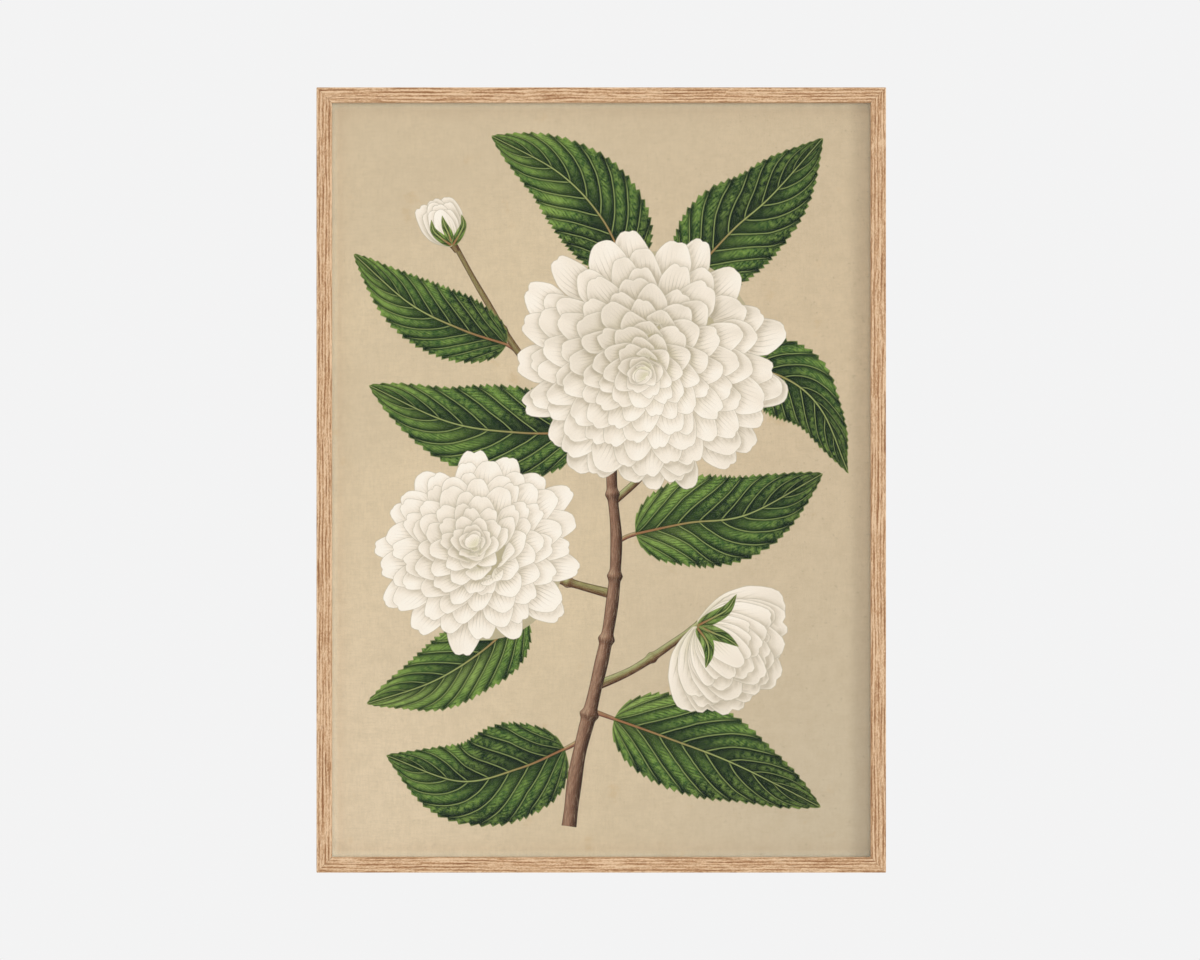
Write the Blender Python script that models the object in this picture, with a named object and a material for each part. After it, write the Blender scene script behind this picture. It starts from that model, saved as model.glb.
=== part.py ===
"""A framed print for a wall: a slim mitred oak frame with glass, paper and a closed back.

Metres, +Z up. The picture faces -Y and the wall is the plane Y = 0. The origin is the
point of the wall that the hanging nail comes out of, under the hanger's middle notch.
"""
import math

import bmesh
import bpy
from mathutils import Matrix, Vector

# Driving dimensions of the frame
SIGHT_WIDTH = 0.500         # the part of the print that shows, between the lips
SIGHT_HEIGHT = 0.700
RAIL_FACE = 0.014           # width of a rail seen from the front
FRAME_DEPTH = 0.022         # front face to back face
LIP_WIDTH = 0.005           # how far the lip covers the glass
LIP_DEPTH = 0.006           # thickness of the lip
ARRIS = 0.0004              # chamfer along the long edges
STANDOFF = 0.003            # frame's back to the wall
GAP = 0.0003                # clearance between neighbouring pieces

# The stack that the frame holds, from the front
GLASS_THICKNESS = 0.002
PAPER_THICKNESS = 0.0003
BOARD_THICKNESS = 0.003
SHEET_PLAY = 0.002          # how much smaller the sheets are than the rebate

# Bendable tabs that keep the stack in
TAB_WIDTH = 0.008
TAB_REACH = 0.010           # rebate wall to tip
TAB_THICKNESS = 0.0006
TAB_CORNER = 0.0022         # rounding of the tip's corners
TABS_ON_SHORT_RAIL = 2
TABS_ON_LONG_RAIL = 3
SHORT_RAIL_TAB_PITCH = 0.260
LONG_RAIL_TAB_PITCH = 0.235

# Sawtooth hanger on the top rail
HANGER_WIDTH = 0.045
HANGER_HEIGHT = 0.008
HANGER_THICKNESS = 0.0008
HANGER_RAISE = 0.0016       # offset of its toothed middle towards the wall
HANGER_EAR = 0.006          # flat end that a nail goes through
HANGER_STEP = 0.0015        # length of the slope from ear to middle
HANGER_MARGIN = 0.0008      # top of the frame to the hanger
TOOTH_PITCH = 0.003
TOOTH_DEPTH = 0.0015
TEETH_PER_SIDE = 4
NAIL_RADIUS = 0.0006
NAIL_LENGTH = 0.008
NAIL_TIP_RADIUS = 0.0002
NAIL_TIP_LENGTH = 0.0018
NAIL_HEAD_RADIUS = 0.0014
NAIL_CROWN_RADIUS = 0.001   # flat top of the domed head
NAIL_HEAD_THICKNESS = 0.0005

# Corner keys driven across the mitres from behind
KEY_INSET = 0.004           # outer faces to the key's elbow
KEY_LEG = 0.005
KEY_THICKNESS = 0.0006
KEY_DEPTH = 0.008
CUT_THROUGH = 0.001         # how far a cutter stands out of the face that it cuts

# Felt pads on the bottom rail
PAD_RADIUS = 0.004
PAD_BEVEL = 0.0004
PAD_FROM_SIDE = 0.030

ROUND_SIDES = 24
CORNER_STEPS = 4            # straight runs in a rounded corner

# Sizes that follow
LAND = RAIL_FACE - LIP_WIDTH
OUTER_WIDTH = SIGHT_WIDTH + 2 * RAIL_FACE
OUTER_HEIGHT = SIGHT_HEIGHT + 2 * RAIL_FACE
REBATE_WIDTH = SIGHT_WIDTH + 2 * LIP_WIDTH
REBATE_HEIGHT = SIGHT_HEIGHT + 2 * LIP_WIDTH
SHEET_WIDTH = REBATE_WIDTH - SHEET_PLAY
SHEET_HEIGHT = REBATE_HEIGHT - SHEET_PLAY

BACK_Y = -STANDOFF
FRONT_Y = BACK_Y - FRAME_DEPTH
LIP_BACK_Y = FRONT_Y + LIP_DEPTH
GLASS_Y = LIP_BACK_Y + GAP
PAPER_Y = GLASS_Y + GLASS_THICKNESS + GAP
BOARD_Y = PAPER_Y + PAPER_THICKNESS + GAP
TAB_Y = BOARD_Y + BOARD_THICKNESS + GAP

TOP_Z = HANGER_MARGIN + HANGER_HEIGHT - TOOTH_DEPTH
BOTTOM_Z = TOP_Z - OUTER_HEIGHT
FRAME_CENTRE = Vector((0, 0, TOP_Z - OUTER_HEIGHT / 2))
HANGER_TIP_Z = -TOOTH_DEPTH
HANGER_TOP_Z = TOP_Z - HANGER_MARGIN
HANGER_EAR_X = HANGER_WIDTH / 2 - HANGER_EAR / 2
HANGER_NAIL_Z = (HANGER_TOP_Z + HANGER_TIP_Z) / 2

# Each side of the frame: its turn about Y from the top rail's place, and its sizes
SIDES = {
    "top": (0, OUTER_WIDTH, OUTER_HEIGHT),
    "right": (math.pi / 2, OUTER_HEIGHT, OUTER_WIDTH),
    "bottom": (math.pi, OUTER_WIDTH, OUTER_HEIGHT),
    "left": (-math.pi / 2, OUTER_HEIGHT, OUTER_WIDTH),
}


def clear_scene():
    for obj in list(bpy.data.objects):
        bpy.data.objects.remove(obj, do_unlink=True)


def make_material(name, color, roughness, metallic=0.0, transmission=0.0):
    material = bpy.data.materials.new(name)
    material.use_nodes = True
    shader = material.node_tree.nodes["Principled BSDF"]
    shader.inputs["Base Color"].default_value = (*color, 1.0)
    shader.inputs["Roughness"].default_value = roughness
    shader.inputs["Metallic"].default_value = metallic
    shader.inputs["Transmission Weight"].default_value = transmission
    material.diffuse_color = (*color, 1.0)
    return material


def add_object(name, bm, material=None):
    bmesh.ops.recalc_face_normals(bm, faces=bm.faces)
    mesh = bpy.data.meshes.new(name)
    bm.to_mesh(mesh)
    bm.free()
    obj = bpy.data.objects.new(name, mesh)
    bpy.context.scene.collection.objects.link(obj)
    if material:
        mesh.materials.append(material)
    return obj


def prism(outline, y_low, y_high):
    """A closed solid from an XZ outline, between two planes across Y."""
    bm = bmesh.new()
    front = bm.faces.new([bm.verts.new((x, y_low, z)) for x, z in outline])
    grown = bmesh.ops.extrude_face_region(bm, geom=[front])
    back = [item for item in grown["geom"] if isinstance(item, bmesh.types.BMVert)]
    bmesh.ops.translate(bm, verts=back, vec=(0, y_high - y_low, 0))
    return bm


def turned(profile):
    """A closed solid of revolution about Y, from (radius, y) points."""
    bm = bmesh.new()
    rings = []
    for radius, y in profile:
        angles = [2 * math.pi * step / ROUND_SIDES for step in range(ROUND_SIDES)]
        rings.append([bm.verts.new((radius * math.cos(a), y, radius * math.sin(a))) for a in angles])
    for low, high in zip(rings, rings[1:]):
        for step in range(ROUND_SIDES):
            after = (step + 1) % ROUND_SIDES
            bm.faces.new((low[step], low[after], high[after], high[step]))
    bm.faces.new(rings[0])
    bm.faces.new(rings[-1])
    return bm


def cut(obj, cutter):
    cutter.hide_render = True
    cutter.display_type = "WIRE"
    modifier = obj.modifiers.new(cutter.name, "BOOLEAN")
    modifier.operation = "DIFFERENCE"
    modifier.solver = "EXACT"
    modifier.object = cutter


def rectangle(width, height, x_middle=0.0, z_middle=0.0):
    half_w, half_h = width / 2, height / 2
    corners = ((-half_w, -half_h), (half_w, -half_h), (half_w, half_h), (-half_w, half_h))
    return [(x_middle + x, z_middle + z) for x, z in corners]


def rail_profile():
    """The rail's section: distance in from the frame's outer face, and Y."""
    return [
        (0, BACK_Y - ARRIS),
        (0, FRONT_Y + ARRIS),
        (ARRIS, FRONT_Y),
        (RAIL_FACE - ARRIS, FRONT_Y),
        (RAIL_FACE, FRONT_Y + ARRIS),
        (RAIL_FACE, LIP_BACK_Y),
        (LAND, LIP_BACK_Y),
        (LAND, BACK_Y),
        (ARRIS, BACK_Y),
    ]


def make_rail(side, material):
    """A mitred rail, drawn as the top one about the frame's centre and then turned."""
    turn, length, span = SIDES[side]
    mitre_clearance = GAP / 2 * math.sqrt(2)
    bm = bmesh.new()
    ends = []
    for sign in (-1, 1):
        ring = []
        for inward, y in rail_profile():
            reach = length / 2 - inward - mitre_clearance
            ring.append(bm.verts.new((sign * reach, y, span / 2 - inward)))
        ends.append(ring)
        bm.faces.new(ring)
    points = len(ends[0])
    for index in range(points):
        after = (index + 1) % points
        bm.faces.new((ends[0][index], ends[0][after], ends[1][after], ends[1][index]))
    rail = add_object(f"rail_{side}", bm, material)
    rail.location = FRAME_CENTRE
    rail.rotation_euler = (0, turn, 0)
    return rail


def make_sheet(name, y_low, thickness, material):
    """A sheet of the stack, standing on the bottom rail's rebate."""
    lowest = BOTTOM_Z + LAND + GAP
    outline = rectangle(SHEET_WIDTH, SHEET_HEIGHT, 0, lowest + SHEET_HEIGHT / 2)
    return add_object(name, prism(outline, y_low, y_low + thickness), material)


def tab_outline():
    """From the hinge line down to a tip with round corners."""
    half = TAB_WIDTH / 2
    root = TAB_THICKNESS / 2
    tip = root - (TAB_REACH - GAP)
    points = [(-half, root), (half, root)]
    for sign, start in ((1, 0), (-1, -math.pi / 2)):
        for step in range(CORNER_STEPS + 1):
            angle = start - math.pi / 2 * step / CORNER_STEPS
            x = sign * (half - TAB_CORNER) + TAB_CORNER * math.cos(angle)
            z = tip + TAB_CORNER + TAB_CORNER * math.sin(angle)
            points.append((x, z))
    return points


def make_tabs(side, count, pitch, material):
    """Tabs along one rail, pressed down on the board. Each has its origin on the line that it bends about."""
    turn, _, span = SIDES[side]
    hinge_inward = LAND + GAP + TAB_THICKNESS / 2
    about = Matrix.Rotation(turn, 4, "Y")
    for index in range(count):
        along = (index - (count - 1) / 2) * pitch
        bm = prism(tab_outline(), -TAB_THICKNESS / 2, TAB_THICKNESS / 2)
        tab = add_object(f"tab_{side}_{index + 1}", bm, material)
        place = Vector((along, TAB_Y + TAB_THICKNESS / 2, span / 2 - hinge_inward))
        tab.location = FRAME_CENTRE + about @ place
        tab.rotation_euler = (0, turn, 0)


def hanger_columns():
    """X, lower Z and offset towards the wall, at each bend or tooth of the hanger."""
    middle = HANGER_WIDTH / 2 - HANGER_EAR - HANGER_STEP
    right = []
    for half_pitch in range(1, 2 * TEETH_PER_SIDE + 2):
        lower = HANGER_TIP_Z if half_pitch % 2 else 0
        right.append((half_pitch * TOOTH_PITCH / 2, lower, HANGER_RAISE))
    right.append((middle, HANGER_TIP_Z, HANGER_RAISE))
    right.append((middle + HANGER_STEP, HANGER_TIP_Z, 0))
    right.append((HANGER_WIDTH / 2, HANGER_TIP_Z, 0))
    left = [(-x, lower, offset) for x, lower, offset in reversed(right)]
    return left + [(0, 0, HANGER_RAISE)] + right


def make_hanger(material):
    """A pressed plate: two ears on the rail and a raised middle with teeth below."""
    bm = bmesh.new()
    columns = []
    for x, lower, offset in hanger_columns():
        near = BACK_Y + GAP + offset
        far = near + HANGER_THICKNESS
        corners = ((near, lower), (far, lower), (far, HANGER_TOP_Z), (near, HANGER_TOP_Z))
        columns.append([bm.verts.new((x, y, z)) for y, z in corners])
    for left, right in zip(columns, columns[1:]):
        for index in range(4):
            after = (index + 1) % 4
            bm.faces.new((left[index], left[after], right[after], right[index]))
    bm.faces.new(columns[0])
    bm.faces.new(columns[-1])
    return add_object("hanger", bm, material)


def make_hanger_nails(hanger, rail, material):
    """Two nails through the hanger's ears into the top rail."""
    head_y = BACK_Y + GAP + HANGER_THICKNESS + GAP
    tip_y = BACK_Y - NAIL_LENGTH
    for side, sign in (("left", -1), ("right", 1)):
        place = (sign * HANGER_EAR_X, 0, HANGER_NAIL_Z)
        nail = add_object(f"hanger_nail_{side}", turned([
            (NAIL_TIP_RADIUS, tip_y),
            (NAIL_RADIUS, tip_y + NAIL_TIP_LENGTH),
            (NAIL_RADIUS, head_y),
            (NAIL_HEAD_RADIUS, head_y),
            (NAIL_CROWN_RADIUS, head_y + NAIL_HEAD_THICKNESS),
        ]), material)
        nail.location = place
        hole = add_object(f"hole_{side}", turned([
            (NAIL_RADIUS + GAP, tip_y - GAP),
            (NAIL_RADIUS + GAP, head_y + CUT_THROUGH),
        ]))
        hole.location = place
        cut(rail, hole)
        cut(hanger, hole)


def key_outline(sign_x, sign_z, grow):
    """An L across one mitre, its legs parallel to the two rails."""
    thin = KEY_THICKNESS / 2 + grow
    reach = KEY_LEG + grow
    legs = [(-thin, -thin), (reach, -thin), (reach, thin), (thin, thin), (thin, reach), (-thin, reach)]
    corner_x = sign_x * (OUTER_WIDTH / 2 - KEY_INSET)
    corner_z = FRAME_CENTRE.z + sign_z * (OUTER_HEIGHT / 2 - KEY_INSET)
    return [(corner_x - sign_x * across, corner_z - sign_z * down) for across, down in legs]


def make_corner_keys(rails, material):
    for vertical, sign_z in (("top", 1), ("bottom", -1)):
        for sideways, sign_x in (("left", -1), ("right", 1)):
            name = f"{vertical}_{sideways}"
            outline = key_outline(sign_x, sign_z, 0)
            deepest = BACK_Y - KEY_DEPTH
            add_object(f"corner_key_{name}", prism(outline, deepest, BACK_Y - GAP), material)
            wider = key_outline(sign_x, sign_z, GAP)
            slot = add_object(f"slot_{name}", prism(wider, deepest - GAP, BACK_Y + CUT_THROUGH))
            cut(rails[vertical], slot)
            cut(rails[sideways], slot)


def make_pads(material):
    """Felt pads that keep the bottom rail off the wall."""
    for side, sign in (("left", -1), ("right", 1)):
        pad = add_object(f"pad_{side}", turned([
            (PAD_RADIUS, BACK_Y + GAP),
            (PAD_RADIUS, -PAD_BEVEL),
            (PAD_RADIUS - PAD_BEVEL, 0),
        ]), material)
        pad.location = (sign * (OUTER_WIDTH / 2 - PAD_FROM_SIDE), 0, BOTTOM_Z + LAND / 2)


def main():
    clear_scene()
    oak = make_material("oak", (0.60, 0.39, 0.22), 0.55)
    glass = make_material("glass", (0.95, 0.97, 0.96), 0.05, transmission=1.0)
    paper = make_material("paper", (0.66, 0.53, 0.35), 0.80)
    board = make_material("board", (0.33, 0.21, 0.12), 0.75)
    steel = make_material("steel", (0.62, 0.62, 0.60), 0.35, metallic=1.0)
    felt = make_material("felt", (0.10, 0.09, 0.08), 0.95)

    rails = {side: make_rail(side, oak) for side in SIDES}
    make_sheet("glazing", GLASS_Y, GLASS_THICKNESS, glass)
    make_sheet("print_sheet", PAPER_Y, PAPER_THICKNESS, paper)
    make_sheet("backing_board", BOARD_Y, BOARD_THICKNESS, board)
    for side in ("top", "bottom"):
        make_tabs(side, TABS_ON_SHORT_RAIL, SHORT_RAIL_TAB_PITCH, steel)
    for side in ("left", "right"):
        make_tabs(side, TABS_ON_LONG_RAIL, LONG_RAIL_TAB_PITCH, steel)
    hanger = make_hanger(steel)
    make_hanger_nails(hanger, rails["top"], steel)
    make_corner_keys(rails, steel)
    make_pads(felt)


main()
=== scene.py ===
"""The looks of a framed botanical print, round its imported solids.

Metres, +Z up. The picture faces -Y. The printed picture is a few flat layers of ink that
lie on the paper, under the glass, so all its depth is a fraction of a millimetre.
"""
import math

import bmesh
import bpy
import numpy as np
from mathutils import Matrix, Vector


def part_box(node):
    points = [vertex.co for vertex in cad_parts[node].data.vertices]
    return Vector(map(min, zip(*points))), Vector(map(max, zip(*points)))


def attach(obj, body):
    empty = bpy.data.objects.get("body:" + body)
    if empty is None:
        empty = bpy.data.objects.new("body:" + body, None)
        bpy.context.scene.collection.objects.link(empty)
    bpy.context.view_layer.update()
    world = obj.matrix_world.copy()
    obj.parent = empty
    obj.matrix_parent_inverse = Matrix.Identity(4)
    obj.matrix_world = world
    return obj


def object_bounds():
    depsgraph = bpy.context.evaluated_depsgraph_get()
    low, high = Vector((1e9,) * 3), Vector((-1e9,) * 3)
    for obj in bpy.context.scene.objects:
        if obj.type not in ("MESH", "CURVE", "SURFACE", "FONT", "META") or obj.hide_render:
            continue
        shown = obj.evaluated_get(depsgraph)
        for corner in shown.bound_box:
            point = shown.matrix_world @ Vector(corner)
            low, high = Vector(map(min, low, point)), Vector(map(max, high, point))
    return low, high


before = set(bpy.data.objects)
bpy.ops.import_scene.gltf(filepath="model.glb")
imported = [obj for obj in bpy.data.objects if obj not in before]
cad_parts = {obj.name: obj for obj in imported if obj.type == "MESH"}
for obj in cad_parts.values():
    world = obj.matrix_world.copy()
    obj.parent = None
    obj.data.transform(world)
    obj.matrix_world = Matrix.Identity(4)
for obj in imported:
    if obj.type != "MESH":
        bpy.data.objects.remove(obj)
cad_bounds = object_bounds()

# The photograph's frame, in pixels
PHOTO_WIDTH = 1200
SIGHT_WIDTH_PX = 539.4      # between the lips of the side rails
CENTRE_X_PX = 601.25        # middle of the picture frame

# Camera, floor and light
CAMERA_DISTANCE = 3.0       # to the rails' front faces
SENSOR_WIDTH = 36.0         # in millimetres
FLOOR_DROP = 0.9            # from the frame's lower edge
FLOOR_SIZE = 8.0
FLOOR_COLOR = (0.80, 0.80, 0.81)
SURROUND = (0.897, 0.897, 0.899)
SUN_STRENGTH = 1.0
SUN_ANGLE_DEG = 14
SUN_FROM = Vector((2.0, -1.0, 0.15))
ILLUMINATION = 1.06         # daylight and sun together on the rails' front
GLAZED_ILLUMINATION = 0.913 # the same on the print, through its glass

# Places taken from the solids
PAPER_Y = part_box("print_sheet")[0].y
SIGHT_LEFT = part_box("rail_left")[1].x
SIGHT_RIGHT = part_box("rail_right")[0].x
SIGHT_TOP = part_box("rail_top")[0].z
SIGHT_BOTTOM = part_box("rail_bottom")[1].z
OUTER_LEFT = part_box("rail_left")[0].x
OUTER_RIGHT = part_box("rail_right")[1].x
OUTER_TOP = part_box("rail_top")[1].z
OUTER_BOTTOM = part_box("rail_bottom")[0].z
FRONT_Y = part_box("rail_top")[0].y
PLATE_X = (SIGHT_LEFT + SIGHT_RIGHT) / 2
PLATE_Z = (SIGHT_TOP + SIGHT_BOTTOM) / 2

# Glue in the mitres
GLUE_THICKNESS = 0.0002
GLUE_RECESS = 0.00005
GLUE_INSET = 0.0005
GLUE_CLEARANCE = 0.0012
GLUE_DARK, GLUE_PALE = (180, 138, 100), (222, 184, 146)

# The finish of the solids. These and all tones below are the colours that show on screen.
OAK_TONES = (
    (0.12, (150, 102, 60)), (0.30, (179, 131, 87)), (0.48, (204, 161, 118)),
    (0.72, (239, 204, 164)))
OAK_PORE = (140, 96, 60)
OAK_LINES_PER_METRE = 330
OAK_GRAIN = {               # scales along and across the rail, offset, detail and roughness
    "waver": (8, 45, (0, 0, 0), 2, 0.5),
    "ragged": (70, 330, (6, 1, 4), 2, 0.5),
    "broken": (38, 420, (2, 6, 1), 3, 0.6),
    "streaks": (17, 560, (1, 1, 8), 4, 0.62),
    "fibres": (170, 1300, (3, 5, 7), 2, 0.6),
    "hairs": (36, 2900, (4, 8, 2), 3, 0.7),
    "grit": (560, 1250, (8, 3, 6), 2, 0.65),
    "dashes": (60, 640, (5, 9, 3), 2, 0.5),
    "pores": (150, 1700, (9, 2, 4), 1, 0.5),
}
PAPER_DARK, PAPER_PALE = (211, 192, 161), (219, 199, 166)
PAPER_RIGHT, PAPER_HIGH = (209, 188, 157), (206, 187, 157)
PAPER_LOW_RIGHT, PAPER_LOW_LEFT = (200, 185, 159), (223, 203, 173)
SOIL, THREAD, FRECKLE, FOXING = (188, 169, 138), (186, 168, 138), (138, 122, 96), (196, 166, 122)
PAINTED_LIGHT_REACH = 0.008            # how far from the lips the paper is painted paler, a painted light that offsets the lips' shade
PAINTED_LIGHT_START = 0.001           # how far behind a lip the painted light is strongest
# How much the painted light beside the lips brightens the paper's red, green and blue
PAINTED_LIGHT_GAIN = (1.22, 1.35, 1.46)
BOARD_DARK, BOARD_PALE = (112, 83, 57), (148, 114, 81)
BOARD_CLOUD, BOARD_STRAND = (124, 94, 67), (176, 142, 104)
FELT_DARK, FELT_PALE = (52, 48, 45), (96, 90, 84)
SPRING_STEEL = (0.36, 0.365, 0.37)      # reflectances, as are the two below
PLATED_STEEL = (0.52, 0.51, 0.48)
GLASS_TINT = (0.995, 0.997, 0.996, 1)
MATT = 0.05                 # specular level of paper and ink

# Ink layers, in millimetres above the paper
MM = 0.001
STEM_LAYER = 0.012
TWIG_LAYER = STEM_LAYER + 0.007
NECK_LAYER = STEM_LAYER + 0.009
MAIN_STEM_LAYER = STEM_LAYER + 0.014
LEAF_LAYERS = (0.04, 0.062, 0.084)
BLOOM_LAYERS = (0.105, 0.265)
BED_LAYER = BLOOM_LAYERS[0] - 0.004
CALYX_LAYER = 0.272
SEPAL_STEP = 0.002
LEAF_SQUASH = 0.0003        # drawn depth to real depth, so that nearer folds lie on top
PETAL_SQUASH = 0.00004

# How the plant is drawn. Shares run from 0 at a foot to 1 at a tip, and from -1 to 1 across.
DRAWN_LIGHT = np.array([-0.45, 0.55, 0.70])     # X, Z and towards the viewer
DRAWN_LIGHT /= np.linalg.norm(DRAWN_LIGHT)
GOLDEN_ANGLE = math.pi * (3 - math.sqrt(5))
SPAN_STEPS = 40             # points along a curve from one knot to the next
PETAL_U = np.array([
    0, 0.10, 0.20, 0.30, 0.40, 0.50, 0.59, 0.67, 0.74, 0.80, 0.86, 0.91, 0.95, 0.98, 1])
PETAL_V = np.array([-1, -0.93, -0.80, -0.62, -0.42, -0.20, 0, 0.20, 0.42, 0.62, 0.80, 0.93, 1])
PETAL_STEPS = 32            # along the curve of a petal's lift
PETAL_ROOT = 0.26           # width at the root
PETAL_WIDEST = 0.74         # where along the petal it is widest
PETAL_RIPPLE = 0.09
BLOOM_SPREAD = 0.64         # how fast the petals widen from the heart to the rim
BLOOM_HEIGHT = 0.50         # of the heart over the rim, as a share of the radius
BLOOM_LIFT = ((0, 0.12, 0.4, 0.8, 1), (20, 44, 40, 12, -8))     # in degrees, heart to rim
BLOOM_CUP = ((0, 0.5, 1), (0.34, 0.28, 0.12))
PETAL_CURL_DEG = 24         # from a petal's root to its tip
HEART_LENGTH = 1.5
BED_RADIUS = 0.72
BED_SIDES, BED_RINGS = 48, 5
FAN_ROOT_LIFT_DEG, FAN_TIP_LIFT_DEG = 34, -22
SHADOW_SHIFT = np.array((0.7, -1.1, 0))
CONTACT_SHADE = 0.43
CONTACT_REACH = 3.0
FAR = 99.0                  # beyond the reach of any shade or outline
LEAF_ROWS = 150
LEAF_V = np.array([
    -1, -0.96, -0.86, -0.68, -0.48, -0.27, -0.08, 0.08, 0.27, 0.48, 0.68, 0.86, 0.96, 1])
LEAF_FOOT_POWER, LEAF_TIP_POWER = 0.5, 0.92
VEIN_SLANT = 0.30
VEIN_TEETH = 3              # teeth between two side veins
STEM_V = np.array([-1, -0.92, -0.72, -0.45, -0.15, 0.15, 0.45, 0.72, 0.92, 1])
STEM_STEPS = 24             # to a knot
KNOB_SWELL, KNOB_LENGTH = 0.42, 3.2

# Its tones, each with its colour
PETAL_TONES = (
    (0.0, (180, 167, 144)), (0.30, (212, 199, 178)), (0.50, (231, 219, 201)),
    (0.68, (242, 230, 213)), (0.90, (249, 240, 226)))
LEAF_TONES = (
    (0.0, (24, 32, 26)), (0.30, (36, 56, 35)), (0.55, (68, 100, 49)), (0.78, (114, 144, 68)),
    (1.0, (156, 178, 98)))
UNDER_TONES = ((0.0, (86, 104, 56)), (0.45, (124, 144, 80)), (1.0, (176, 188, 124)))
BARK_TONES = (
    (0.0, (52, 40, 32)), (0.40, (102, 74, 57)), (0.75, (144, 108, 86)), (1.0, (184, 152, 124)))
PETIOLE_TONES = (
    (0.0, (88, 50, 40)), (0.40, (146, 92, 74)), (0.75, (170, 132, 96)), (1.0, (196, 176, 128)))
TWIG_TONES = (
    (0.0, (74, 48, 36)), (0.40, (120, 92, 62)), (0.75, (150, 142, 92)), (1.0, (182, 186, 132)))

# And the colours of its line work
PETAL_HEART, PETAL_GAPS = (222, 218, 168), (186, 174, 142)
PETAL_LINE, PETAL_RIM, PETAL_OUTLINE = (166, 152, 126), (250, 242, 228), (163, 149, 120)
PLEAT_SHADE, PLEAT_GLOW, LEAF_HATCH = (28, 38, 30), (146, 174, 84), (30, 48, 32)
SIDE_VEIN, RIB_SHADE, LEAF_MARGIN = (156, 172, 98), (36, 50, 30), (140, 150, 84)
RIB_TIP, RIB_FOOT = (166, 176, 106), (164, 116, 78)
BARK_STREAK, BARK_GLEAM, BARK_OUTLINE = (70, 46, 38), (196, 168, 140), (58, 40, 34)

# The plant, in millimetres from the middle of the plate. A stem has its knots, its width
# at each and the places of its knobs.
MAIN_STEM = (
    ((-30, -322), (-22, -262), (-8, -205), (8, -130), (14, -60), (10, 10), (24, 66), (36, 92)),
    (14, 13.2, 12.6, 11.8, 11, 10, 9, 8), (0.25, 0.42, 0.56, 0.74))
TWIGS = (
    (((10, -106), (-20, -98), (-60, -86), (-92, -76)), (8.8, 8, 7, 6.4), (0.4,)),
    (((-6, -192), (30, -176), (66, -152), (96, -131)), (8.6, 7.8, 7, 6.4), (0.5,)),
    (((11, 24), (-26, 64), (-72, 112), (-110, 172), (-138, 222)), (8, 7, 6.2, 5.4, 4.6),
     (0.3, 0.62)),
    (((12, -20), (34, 0), (46, 16)), (7.4, 6.6, 6.4), ()),
)
NECKS = (                   # under the half-open bloom and the bud
    (((80, -142), (90, -136), (99, -130)), (6.6, 9.5, 13)),
    (((-134, 212), (-138, 219), (-141, 225)), (4.8, 7, 10)),
)
PETIOLE_WIDTHS = (4.6, 3.4, 1.2)
LEAVES = (                  # joint, knots, width, layer, and fold, twist and curl in degrees
    ((-16, -240), ((-34, -250), (-76, -268), (-132, -280), (-200, -256)), 88, 0, 20, (4, -30), 30),
    ((-10, -214), ((12, -222), (62, -240), (124, -264), (204, -304)), 84, 0, 14, (-8, 34), 26),
    ((-60, -108), ((-72, -124), (-112, -160), (-158, -188), (-218, -208)), 70, 1, 22, (6, 24), 24),
    ((14, -58), ((32, -50), (80, -40), (136, -32), (206, 6)), 82, 0, 18, (-14, 16), 30),
    ((10, 34), ((-14, 44), (-76, 44), (-142, 54), (-216, 88)), 82, 1, 18, (8, -18), 28),
    ((60, 150), ((78, 184), (122, 232), (158, 264), (206, 318)), 86, 0, 20, (-4, 30), 26),
    ((36, 150), ((26, 192), (0, 244), (-40, 286), (-102, 320)), 82, 0, 16, (12, -20), 28),
    ((90, 110), ((118, 106), (168, 96), (204, 66), (230, 6)), 70, 1, 22, (-10, 62), 24),
    ((-72, 112), ((-88, 126), (-130, 140), (-178, 164), (-230, 210)), 60, 0, 18, (14, -24), 26),
)
SEPALS = (                  # knots and width
    (((90, -135), (104, -128), (117, -120), (126, -106)), 12),
    (((89, -137), (98, -150), (100, -162), (97, -175)), 12),
    (((89, -135), (104, -142), (116, -147), (128, -155)), 13),
    (((-138, 218), (-131, 230), (-128, 238), (-130, 247)), 8),
    (((-139, 218), (-149, 225), (-156, 232), (-158, 242)), 8),
    (((-138, 218), (-142, 229), (-146, 238), (-148, 246)), 8),
)
BLOOMS = {
    "ink_bloom_large": dict(
        centre=(50, 116), radius=134, count=136, lean=20, towards=235, seed=5),
    "ink_bloom_small": dict(
        centre=(-110, -74), radius=104, count=108, lean=24, towards=120, seed=6),
}
HALF_OPEN = dict(           # its rows, and the bud's, give a count, reach, spread and width
    foot=(90, -136), towards=-42, length=94, seed=7, rows=(
        (8, 1.00, 66, 0.26), (7, 0.92, 54, 0.26), (7, 0.84, 56, 0.25), (6, 0.74, 42, 0.25),
        (7, 0.64, 44, 0.20)))
BUD = dict(
    foot=(-138, 218), towards=114, length=50, seed=8, rows=(
        (3, 1.0, 20, 0.26), (4, 0.92, 24, 0.24), (3, 0.80, 14, 0.25)))


def to_reflectance(screen, light):
    """The linear reflectances that show as these screen colours under this much light."""
    share = np.asarray(screen, float) / 255
    return np.where(share <= 0.04045, share / 12.92, ((share + 0.055) / 1.055) ** 2.4) / light


def bare(color):
    """The reflectance of a surface in front of or behind the glass, from its screen colour."""
    return tuple(to_reflectance(color, ILLUMINATION).tolist())


def glazed(color):
    """The reflectance of a surface under the glass, from its screen colour."""
    return tuple(to_reflectance(color, GLAZED_ILLUMINATION).tolist())


def opaque(value):
    """A red, green and blue tuple with full alpha, and anything else as it is."""
    return (*value, 1.0) if isinstance(value, tuple) and len(value) == 3 else value


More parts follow.
